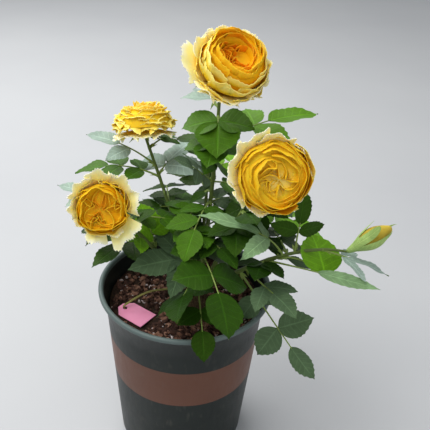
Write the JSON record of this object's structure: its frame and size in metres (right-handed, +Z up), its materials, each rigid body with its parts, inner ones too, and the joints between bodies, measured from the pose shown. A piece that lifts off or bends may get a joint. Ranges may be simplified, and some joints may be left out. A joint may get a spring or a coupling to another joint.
{
  "type": "rose bush",
  "caption": "Potted rose bush with open, many-petalled yellow blooms, a closed bud and toothed compound leaves on arching canes, in a round tapered nursery pot filled with peat and bark.",
  "frame": {"origin": "centre of the pot's flat underside, where it stands", "axes": "+Z up, -Y towards the side that the picture shows, +X towards the bud"},
  "size_m": [0.3064, 0.2435, 0.4303],
  "materials": {
    "pot": "dark green moulded plastic with a satin sheen, a printed clay-brown band and a paler lip",
    "soil": "matt chips of peat and bark with white grains",
    "bark": "rough grey-brown bark",
    "cane": "smooth green rind with small thorns",
    "leaves": "half-gloss leaf blades, dark to mid green",
    "petals": "soft satin petals, deep gold at the heart and cream at the rim",
    "bud": "satin green calyx over yellow petals",
    "tag": "smooth pink plastic",
    "tie": "flat olive-yellow strip"
  },
  "bodies": {
    "root": {"pot": "pot", "soil": "soil", "main_stem": "bark", "tag": "tag", "tag_tie": "tie", "cane_front": "cane", "cane_bud": "cane", "cane_top": "cane", "cane_left": "cane", "cane_right": "cane", "cane_back": "cane", "cane_rear": "cane", "cane_rear_right": "cane", "cane_rear_left": "cane", "rose_top": "petals", "rose_right": "petals", "rose_left": "petals", "rose_back": "petals", "rose_bud": "bud", "leaves_front": "leaves", "leaves_bud": "leaves", "leaves_top": "leaves", "leaves_left": "leaves", "leaves_right": "leaves", "leaves_back": "leaves", "leaves_rear": "leaves", "leaves_rear_right": "leaves", "leaves_rear_left": "leaves"}
  },
  "joints": []
}
